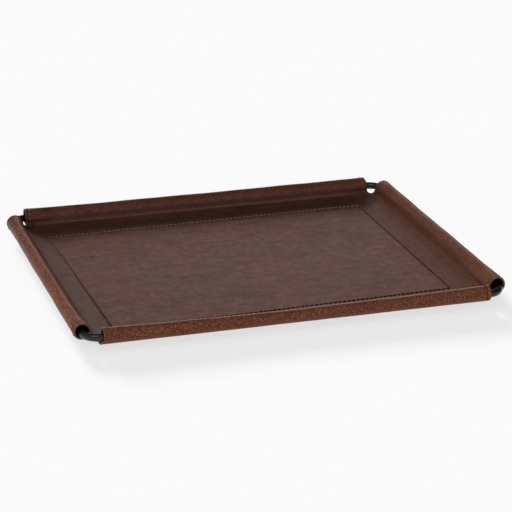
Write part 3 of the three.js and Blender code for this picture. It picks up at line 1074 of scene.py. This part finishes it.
def seam_places(side_name, height):
    """Stitches of one seam, laid end to end in the groove with a slight slant."""
    side = SIDES[side_name]
    first, last = seam_ends(side_name)
    count = round((last - first) / STITCH_PITCH)
    along = Vector((*side["run"], 0)) + SEAM_SLANT * Vector((*side["out"], 0))
    places = []
    for i in range(count):
        t = np.array([first + (last - first) * (i + 0.5) / count])
        point = place(side, t, seam_drift(side_name, t) - side["inset"], np.array([height]))[0]
        places.append((point, along, (0, 0, 1)))
    return places


def path_places(path, ups, slant=Vector((0, 0, 0))):
    """Even stitches along a drawn path of points, each with the surface's own up and a slant."""
    path = np.asarray(path)
    ups = np.asarray(ups)
    steps = np.r_[0, np.cumsum(np.linalg.norm(np.diff(path, axis=0), axis=1))]
    count = max(1, round(steps[-1] / STITCH_PITCH))
    places = []
    for i in range(count):
        ends = np.array([i, i + 0.5, i + 1]) * steps[-1] / count
        spots = np.stack([np.interp(ends, steps, path[:, k]) for k in range(3)], axis=-1)
        up = np.array([np.interp(ends[1], steps, ups[:, k]) for k in range(3)])
        places.append((spots[1], Vector(spots[2] - spots[0]).normalized() + slant, up))
    return places


def end_row_places(side_name, sign):
    """Stitches round one end of a roll, close to its mouth."""
    side = SIDES[side_name]
    row = np.linspace(BAND_ROWS + PAST_CREASE, LAST_ROLL_ROW - SHORT_OF_FLAP_STITCH, 120)
    t = np.full(len(row), sign * (side["end"] - END_STITCH_INSET))
    u, z = wing_shape(side, t, row)
    facing = facing_at(side, row)
    path = place(side, t + end_shift(side_name, t, facing), u, z)
    ups = place(side, 0 * t, u - side["half"], z - ROLL_Z)
    sunk = bell(facing, *SUNK_AT_TOP) - END_STITCH_RISE
    path = path - (sunk / np.linalg.norm(ups, axis=1))[:, None] * ups
    return path_places(path, ups, END_SLANT * Vector((*side["run"], 0)))


# The row round a notch: the centre of its bend beyond the two ends, its radius, how far it runs on past
# them, and how high it lies on the leather
NOTCH_CENTRE = 2.2
NOTCH_ROUND = NOTCH_CENTRE + END_STITCH_INSET
NOTCH_RUN = 8
NOTCH_RISE = 0.2


def notch_places(sign_x, sign_y):
    """The few stitches that carry the row round a notch from one roll's end to the next."""
    turn = np.linspace(0, math.pi / 2, 20)
    bend_x = END_X + NOTCH_CENTRE - NOTCH_ROUND * np.cos(turn)
    bend_y = END_Y + NOTCH_CENTRE - NOTCH_ROUND * np.sin(turn)
    x = np.r_[END_X - END_STITCH_INSET, bend_x, END_X + NOTCH_RUN]
    y = np.r_[END_Y + NOTCH_RUN, bend_y, END_Y - END_STITCH_INSET]
    path = np.stack([sign_x * x, sign_y * y, band_height(x, y) + NOTCH_RISE], axis=-1)
    ups = np.tile([0.0, 0.0, 1.0], (len(x), 1))
    return path_places(path, ups)


# Finishes


def finish_nodes(name):
    """A new material with its node tree and its shader."""
    material = bpy.data.materials.new(name)
    material.use_nodes = True
    tree = material.node_tree
    return material, tree, tree.nodes["Principled BSDF"]


def feed(tree, socket, value):
    """Links a socket to another node's output, or sets its own value."""
    if hasattr(value, "is_output"):
        tree.links.new(value, socket)
    else:
        socket.default_value = value


def add(tree, kind, inputs=None, **settings):
    """A new node with its settings made and its sockets fed."""
    node = tree.nodes.new("ShaderNode" + kind)
    for key, value in settings.items():
        setattr(node, key, value)
    for socket, value in (inputs or {}).items():
        feed(tree, node.inputs[socket], value)
    return node


def object_place(tree):
    """The piece's own coordinates."""
    return add(tree, "TexCoord").outputs["Object"]


def mark(tree, name):
    """A value that was noted on the piece's points."""
    return add(tree, "Attribute", attribute_name=name).outputs["Fac"]


def stretched(tree, vector, scale):
    """Coordinates drawn out by a scale along each axis."""
    return add(tree, "Mapping", {"Vector": vector, "Scale": scale}).outputs["Vector"]


def noise(tree, vector, scale, detail=2.0, roughness=0.5, distortion=0.0):
    """Cloudy noise."""
    inputs = {"Vector": vector, "Scale": scale, "Detail": detail}
    inputs.update({"Roughness": roughness, "Distortion": distortion})
    return add(tree, "TexNoise", inputs).outputs["Fac"]


def cells(tree, vector, scale):
    """Rounded cells, for pores."""
    inputs = {"Vector": vector, "Scale": scale, "Smoothness": 0.6}
    return add(tree, "TexVoronoi", inputs, feature="SMOOTH_F1").outputs["Distance"]


def spread(tree, value, low, high, to_low=0.0, to_high=1.0):
    """A value taken from one range to another."""
    inputs = {"Value": value, "From Min": low, "From Max": high, "To Min": to_low, "To Max": to_high}
    return add(tree, "MapRange", inputs).outputs["Result"]


def maths(tree, operation, a, b=0.0):
    """One step of arithmetic on two values."""
    return add(tree, "Math", {0: a, 1: b}, operation=operation).outputs[0]


def part(tree, value, share):
    """A share of a value."""
    return maths(tree, "MULTIPLY", value, share)


def tint(tree, factor, a, b, mode="MIX"):
    """One colour laid over another by a factor."""
    return add(tree, "Mix", {0: factor, 6: a, 7: b}, data_type="RGBA", blend_type=mode).outputs[2]


def raised(tree, height, distance, strength, under=None):
    """A fine relief, laid over another where one is given."""
    node = add(tree, "Bump", {"Height": height, "Distance": distance, "Strength": strength})
    if under is not None:
        feed(tree, node.inputs["Normal"], under)
    return node.outputs["Normal"]


def dress(tree, shader, colour, roughness, shine, relief):
    """Feeds a finish to its shader."""
    feed(tree, shader.inputs["Base Color"], colour)
    feed(tree, shader.inputs["Roughness"], roughness)
    feed(tree, shader.inputs["Specular IOR Level"], shine)
    feed(tree, shader.inputs["Normal"], relief)


def shade(red, green, blue):
    """A colour as seen on a screen, turned to the linear value that a shader takes."""
    def linear(value):
        level = value / 255
        return level / 12.92 if level <= 0.04045 else ((level + 0.055) / 1.055) ** 2.4

    return (linear(red), linear(green), linear(blue), 1.0)


def pull_up_leather():
    """Waxed brown leather: dark and smooth lying flat, paler and rustier where it is bent, with painted light
    and painted shade laid over it.
    """
    material, tree, shader = finish_nodes("pull_up_leather")
    spot = object_place(tree)
    clouds = noise(tree, spot, 16, 3, 0.55)
    patches = noise(tree, spot, 75, 4, 0.6, 0.4)
    brushed = noise(tree, stretched(tree, spot, (22, 130, 130)), 1, 4, 0.65)
    mottle = noise(tree, stretched(tree, spot, (120, 105, 120)), 1, 4, 0.75)
    fine = noise(tree, spot, 560, 5, 0.75)
    drawn = noise(tree, stretched(tree, spot, (560, 230, 560)), 1, 5, 0.75)
    change = maths(tree, "MULTIPLY", mark(tree, "left_roll"), maths(tree, "SUBTRACT", drawn, fine))
    speckle = maths(tree, "ADD", fine, change)
    flecks = noise(tree, spot, 800, 3, 0.65)
    pores = cells(tree, spot, 1150)
    bent_and_lit = mark(tree, "bent_and_lit")
    band = mark(tree, "band")

    flat_tone = tint(tree, spread(tree, clouds, 0.35, 0.65), shade(62, 33, 23), shade(72, 40, 28))
    flat_tone = tint(tree, spread(tree, brushed, 0.35, 0.65, 0, 0.8), flat_tone, shade(88, 53, 39))
    flat_tone = tint(tree, spread(tree, mottle, 0.5, 0.72, 0, 0.45), flat_tone, shade(112, 66, 49))
    flat_tone = tint(tree, spread(tree, mottle, 0.45, 0.28, 0, 0.42), flat_tone, shade(42, 23, 17))
    flat_tone = tint(tree, spread(tree, speckle, 0.5, 0.75, 0, 0.5), flat_tone, shade(104, 64, 48))
    # Tone of the bent outer walls: paler, rustier leather, lightened further as painted light from the floor
    # below
    bent_and_lit_tone = tint(tree, spread(tree, patches, 0.35, 0.65), shade(110, 62, 42), shade(120, 70, 48))
    bent_and_lit_tone = tint(tree, spread(tree, speckle, 0.51, 0.64, 0, 0.95), bent_and_lit_tone, shade(166, 104, 72))
    bent_and_lit_tone = tint(tree, spread(tree, speckle, 0.48, 0.36, 0, 0.85), bent_and_lit_tone, shade(56, 28, 17))
    roll_tone = tint(tree, spread(tree, patches, 0.35, 0.65), shade(84, 50, 40), shade(104, 65, 53))
    roll_tone = tint(tree, spread(tree, speckle, 0.51, 0.64, 0, 0.85), roll_tone, shade(146, 98, 80))
    roll_tone = tint(tree, spread(tree, speckle, 0.48, 0.36, 0, 0.85), roll_tone, shade(52, 26, 17))
    # Pale tone of the painted highlight on the band's shoulder
    shoulder_highlight_tone = tint(tree, 0.38, roll_tone, shade(138, 94, 79))
    roll_tone = tint(tree, mark(tree, "deep"), roll_tone, (1.0, 0.7, 0.46, 1.0), "MULTIPLY")
    # Painted shade on the bands, where the rolls shade them
    colour = tint(tree, part(tree, band, 0.3), flat_tone, shade(44, 21, 14))
    # Painted highlight along the band's shoulder
    colour = tint(tree, part(tree, mark(tree, "shoulder_highlight"), 0.85), colour, shoulder_highlight_tone)
    colour = tint(tree, mark(tree, "roll"), colour, roll_tone)
    # Paler, rustier bent leather with painted light on the outer walls
    colour = tint(tree, bent_and_lit, colour, bent_and_lit_tone)
    # Painted light: a highlight along the roll tops, light under the front roll and on the inner walls
    colour = tint(tree, part(tree, mark(tree, "painted_light"), 0.7), colour, shade(160, 112, 90))
    # Painted shade in the creases and on the back roll's inner wall
    colour = tint(tree, part(tree, mark(tree, "crease"), 0.15), colour, shade(64, 32, 22))
    # Painted shadow in the stitching groove
    colour = tint(tree, part(tree, mark(tree, "seam"), 0.25), colour, shade(46, 22, 15))

    rough = spread(tree, speckle, 0.3, 0.7, 0.36, 0.46)
    rough = maths(tree, "ADD", rough, spread(tree, mottle, 0.3, 0.7, 0.04, -0.04))
    rough = maths(tree, "ADD", rough, part(tree, band, 0.02))
    rough = maths(tree, "ADD", rough, part(tree, bent_and_lit, 0.25))
    grain = raised(tree, pores, 0.00025, 0.35)
    grain = raised(tree, flecks, 0.0003, 0.25, grain)
    grain = raised(tree, speckle, 0.0004, 0.12, grain)
    dress(tree, shader, colour, rough, 0.27, grain)
    return material


def raw_flesh():
    """The rough back of the leather."""
    material, tree, shader = finish_nodes("raw_flesh")
    nap = noise(tree, object_place(tree), 900, 4, 0.7)
    colour = tint(tree, nap, shade(52, 33, 26), shade(88, 60, 47))
    dress(tree, shader, colour, 0.9, 0.2, raised(tree, nap, 0.0004, 0.6))
    return material


def cut_edge():
    """The dyed and rubbed cut edge of the leather, a little paler than its face."""
    material, tree, shader = finish_nodes("cut_edge")
    fibre = noise(tree, object_place(tree), 1400, 3, 0.6)
    colour = tint(tree, fibre, shade(102, 74, 60), shade(138, 106, 88))
    dress(tree, shader, colour, 0.62, 0.35, raised(tree, fibre, 0.0003, 0.5))
    return material


def lining_leather():
    """Thin dark lining, smooth and matt."""
    material, tree, shader = finish_nodes("lining_leather")
    spot = object_place(tree)
    grain = cells(tree, spot, 1600)
    patches = noise(tree, spot, 120, 3)
    colour = tint(tree, patches, shade(44, 27, 21), shade(62, 40, 32))
    dress(tree, shader, colour, 0.72, 0.3, raised(tree, grain, 0.0002, 0.4))
    return material


def cover_leather():
    """Plain dark brown leather for the underside, with a fine even grain."""
    material, tree, shader = finish_nodes("cover_leather")
    spot = object_place(tree)
    grain = cells(tree, spot, 950)
    clouds = noise(tree, spot, 22, 4, 0.6)
    flecks = noise(tree, spot, 500, 3, 0.6)
    colour = tint(tree, spread(tree, clouds, 0.3, 0.7), shade(64, 39, 31), shade(84, 54, 43))
    colour = tint(tree, spread(tree, flecks, 0.55, 0.75, 0, 0.4), colour, shade(100, 66, 52))
    rough = spread(tree, clouds, 0.3, 0.7, 0.56, 0.68)
    relief = raised(tree, flecks, 0.0003, 0.3, raised(tree, grain, 0.00025, 0.4))
    dress(tree, shader, colour, rough, 0.35, relief)
    return material


def waxed_thread():
    """Brown waxed thread with its twist showing as fine slanting ridges."""
    material, tree, shader = finish_nodes("waxed_thread")
    spot = object_place(tree)
    wave = {"Vector": spot, "Scale": 420}
    twist = add(tree, "TexWave", wave, wave_type="BANDS", bands_direction="DIAGONAL").outputs["Fac"]
    worn = noise(tree, spot, 130, 2)
    # One thread in two painted tones: dark where its row lies in shade, pale where it is lit
    dark = tint(tree, worn, shade(44, 21, 14), shade(60, 32, 23))
    pale = tint(tree, worn, shade(148, 108, 84), shade(182, 138, 110))
    colour = tint(tree, mark(tree, "pale"), dark, pale)
    colour = tint(tree, part(tree, twist, 0.3), colour, shade(56, 33, 24))
    colour = tint(tree, part(tree, mark(tree, "tip"), 0.7), colour, shade(34, 17, 12))
    dress(tree, shader, colour, 0.75, 0.1, raised(tree, twist, 0.0001, 0.5))
    return material


def black_coat():
    """Satin black powder coat on the steel rod, with its faint orange peel."""
    material, tree, shader = finish_nodes("black_coat")
    spot = object_place(tree)
    peel = noise(tree, spot, 900, 2, 0.5)
    rubbed = noise(tree, spot, 60, 3, 0.6)
    colour = tint(tree, rubbed, shade(14, 14, 14), shade(24, 24, 24))
    rough = spread(tree, rubbed, 0.3, 0.7, 0.16, 0.22)
    dress(tree, shader, colour, rough, 0.5, raised(tree, peel, 0.00015, 0.25))
    return material


def fibre_board():
    """Pressed grey-brown fibre board between the leather and its cover."""
    material, tree, shader = finish_nodes("fibre_board")
    fibres = noise(tree, stretched(tree, object_place(tree), (1, 1.6, 3)), 380, 5, 0.7)
    colour = tint(tree, fibres, shade(120, 100, 80), shade(160, 138, 112))
    dress(tree, shader, colour, 0.85, 0.5, raised(tree, fibres, 0.0003, 0.4))
    return material


def give(piece, *materials):
    """Puts the finishes on a piece, in the order of its faces' slots."""
    piece.data.materials.clear()
    for material in materials:
        piece.data.materials.append(material)


def belongs(piece, slot, *nodes):
    """Puts a piece on the root body and hides the solids it stands for; its slot argument is not used."""
    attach(piece, "root")
    if nodes:
        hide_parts(*nodes)


# Putting the tray together

leather = leather_sheet()
give(leather, pull_up_leather(), raw_flesh(), cut_edge())
leather_thickness(leather)
belongs(leather, "leather", "tray_leather")

rod = frame_rod()
give(rod, black_coat())
belongs(rod, "rod", "frame_rod")

lining = lining_leather()
for side_name in SIDES:
    tube = sleeve_lining(side_name)
    give(tube, lining)
    belongs(tube, "lining", side_name + "_sleeve_lining")

cover = base_cover()
give(cover, cover_leather())
belongs(cover, "cover", "base_cover")

# How pale the thread of each row is painted, from painted shade to painted light on one and the same thread,
# for a seam at its front and at its back end, and how high each seam lies on the floor
SEAM_THREAD_LIT = {"front": (0, 0), "back": (1, 1), "right": (0.1, 0.3), "left": (0.1, 0.8)}
SEAM_RISE = {"front": 0.2, "back": 0.5, "right": 0.2, "left": 0.2}
END_THREAD_LIT = {("front", -1): 0.55, ("front", 1): 0.15, ("back", 1): 1.0, ("back", -1): 0.85}
OTHER_END_THREAD_LIT = 0.45
NOTCH_THREAD_LIT = {"front_right": 0.3, "front_left": 0.3, "back_left": 0.0, "back_right": 0.6}
HEM_THREAD_LIT = 0.5
ENDS = {
    "front": {1: "right", -1: "left"},
    "back": {1: "left", -1: "right"},
    "right": {1: "back", -1: "front"},
    "left": {1: "front", -1: "back"},
}
NOTCHES = {"front_right": (1, -1), "front_left": (-1, -1), "back_left": (-1, 1), "back_right": (1, 1)}

stitch = one_stitch()
give(stitch, waxed_thread())
for side_name in SIDES:
    spots = seam_places(side_name, FLOOR_TOP + RIPPLE_SWING + SEAM_RISE[side_name])
    row = sew(side_name + "_seam_stitches", stitch, spots, *SEAM_THREAD_LIT[side_name])
    belongs(row, "thread", side_name + "_seam_thread")
for side_name, ends in ENDS.items():
    for sign, end_name in ends.items():
        pale = END_THREAD_LIT.get((side_name, sign), OTHER_END_THREAD_LIT)
        spots = end_row_places(side_name, sign)
        row = sew(side_name + "_" + end_name + "_end_stitches", stitch, spots, pale, pale)
        belongs(row, "thread", side_name + "_sleeve_" + end_name + "_stitch")
for corner_name, signs in NOTCHES.items():
    pale = NOTCH_THREAD_LIT[corner_name]
    row = sew(corner_name + "_notch_stitches", stitch, notch_places(*signs), pale, pale)
    belongs(row, "thread")
under_spots = [spot for side_name in SIDES for spot in hem_places(side_name)]
under_row = sew("underside_stitches", stitch, under_spots, HEM_THREAD_LIT, HEM_THREAD_LIT)
belongs(under_row, "thread")
bpy.data.objects.remove(stitch)

board = next(o for o in bpy.context.scene.objects if o.name == "base_board")
give(board, fibre_board())


# Studio


def from_above(sideways, height):
    """Direction towards a light behind the tray: degrees to the right of straight behind, degrees up."""
    a, e = math.radians(sideways), math.radians(height)
    return Vector((math.sin(a) * math.cos(e), math.cos(a) * math.cos(e), math.sin(e)))


def studio_floor():
    """A pale floor that takes a soft shadow and is nearly white to the eye."""
    clear_selection()
    bpy.ops.mesh.primitive_plane_add(size=60, location=(0, 0, -0.1 * MM))
    floor = bpy.context.object
    floor.name = "studio_floor"
    material, tree, shader = finish_nodes("studio_floor")
    shader.inputs["Base Color"].default_value = (0.9, 0.9, 0.9, 1)
    shader.inputs["Roughness"].default_value = 0.9
    shader.inputs["Specular IOR Level"].default_value = 0.0
    white = add(tree, "Emission")
    path = add(tree, "LightPath")
    seen = maths(tree, "MAXIMUM", path.outputs["Is Camera Ray"], path.outputs["Is Glossy Ray"])
    seen = maths(tree, "MAXIMUM", seen, path.outputs["Is Transmission Ray"])
    layers = {0: part(tree, seen, 0.7), 1: shader.outputs[0], 2: white.outputs[0]}
    paled = add(tree, "MixShader", layers)
    feed(tree, tree.nodes["Material Output"].inputs["Surface"], paled.outputs[0])
    give(floor, material)


def studio_light():
    """A low sun from behind, and a world with a fill from the front, a glow behind and one soft box."""
    lamp = bpy.data.lights.new("back_light", "SUN")
    lamp.energy = 5.6
    lamp.angle = math.radians(14)
    key = bpy.data.objects.new("back_light", lamp)
    bpy.context.collection.objects.link(key)
    key.visible_glossy = False
    key.rotation_euler = (-from_above(-4, 18.5)).to_track_quat("-Z", "Y").to_euler()

    world = bpy.data.worlds.new("studio")
    bpy.context.scene.world = world
    world.use_nodes = True
    tree = world.node_tree
    tree.nodes.clear()
    direction = add(tree, "TexCoord").outputs["Generated"]

    def towards(aim):
        node = add(tree, "VectorMath", {0: direction, 1: aim}, operation="DOT_PRODUCT")
        return node.outputs["Value"]

    fill = spread(tree, towards(-from_above(35, -15)), -0.2, 0.5, 0.08, 0.61)
    glow = spread(tree, towards(from_above(17, 17)), 0.95, 0.994, 0.0, 0.95)
    soft_box = spread(tree, towards(-from_above(40, -55)), 0.95, 0.98, 0.0, 2.2)
    level = maths(tree, "ADD", maths(tree, "ADD", fill, glow), soft_box)
    light = add(tree, "Background", {"Strength": level})
    add(tree, "OutputWorld", {0: light.outputs[0]})


studio_floor()
studio_light()
